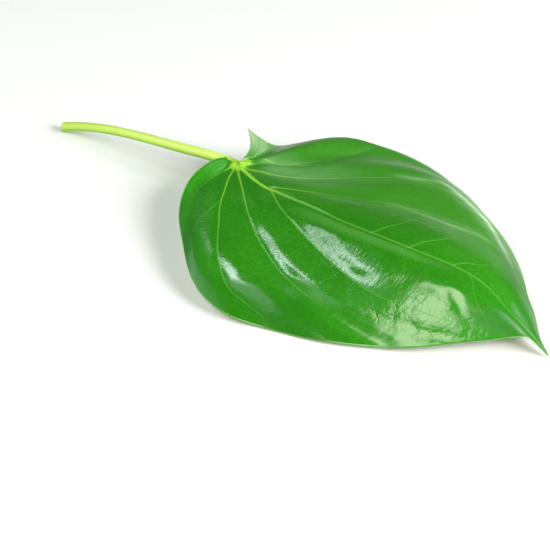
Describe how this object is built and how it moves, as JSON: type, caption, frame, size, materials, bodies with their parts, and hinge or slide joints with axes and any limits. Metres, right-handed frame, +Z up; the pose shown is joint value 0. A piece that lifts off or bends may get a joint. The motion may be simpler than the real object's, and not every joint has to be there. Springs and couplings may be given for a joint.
{
  "type": "betel leaf",
  "caption": "Single picked betel leaf: a glossy, domed, heart-shaped blade with ribs fanning from its notch, on a slender bent stalk, lying on a flat surface.",
  "frame": {"origin": "on the surface that the leaf lies on, under the middle of its bounding box", "axes": "+X from the cut end of the stalk along the midrib to the tip, +Z up, with the glossy side of the blade up"},
  "size_m": [0.1946, 0.0984, 0.0222],
  "materials": {
    "blade": "glossy waxy green leaf, paler beneath, with yellow-green ribs",
    "stalk": "satin yellow-green stem with a brown line along its top and a pale cut end"
  },
  "bodies": {
    "root": {"blade": "blade", "stalk": "stalk"}
  },
  "joints": []
}
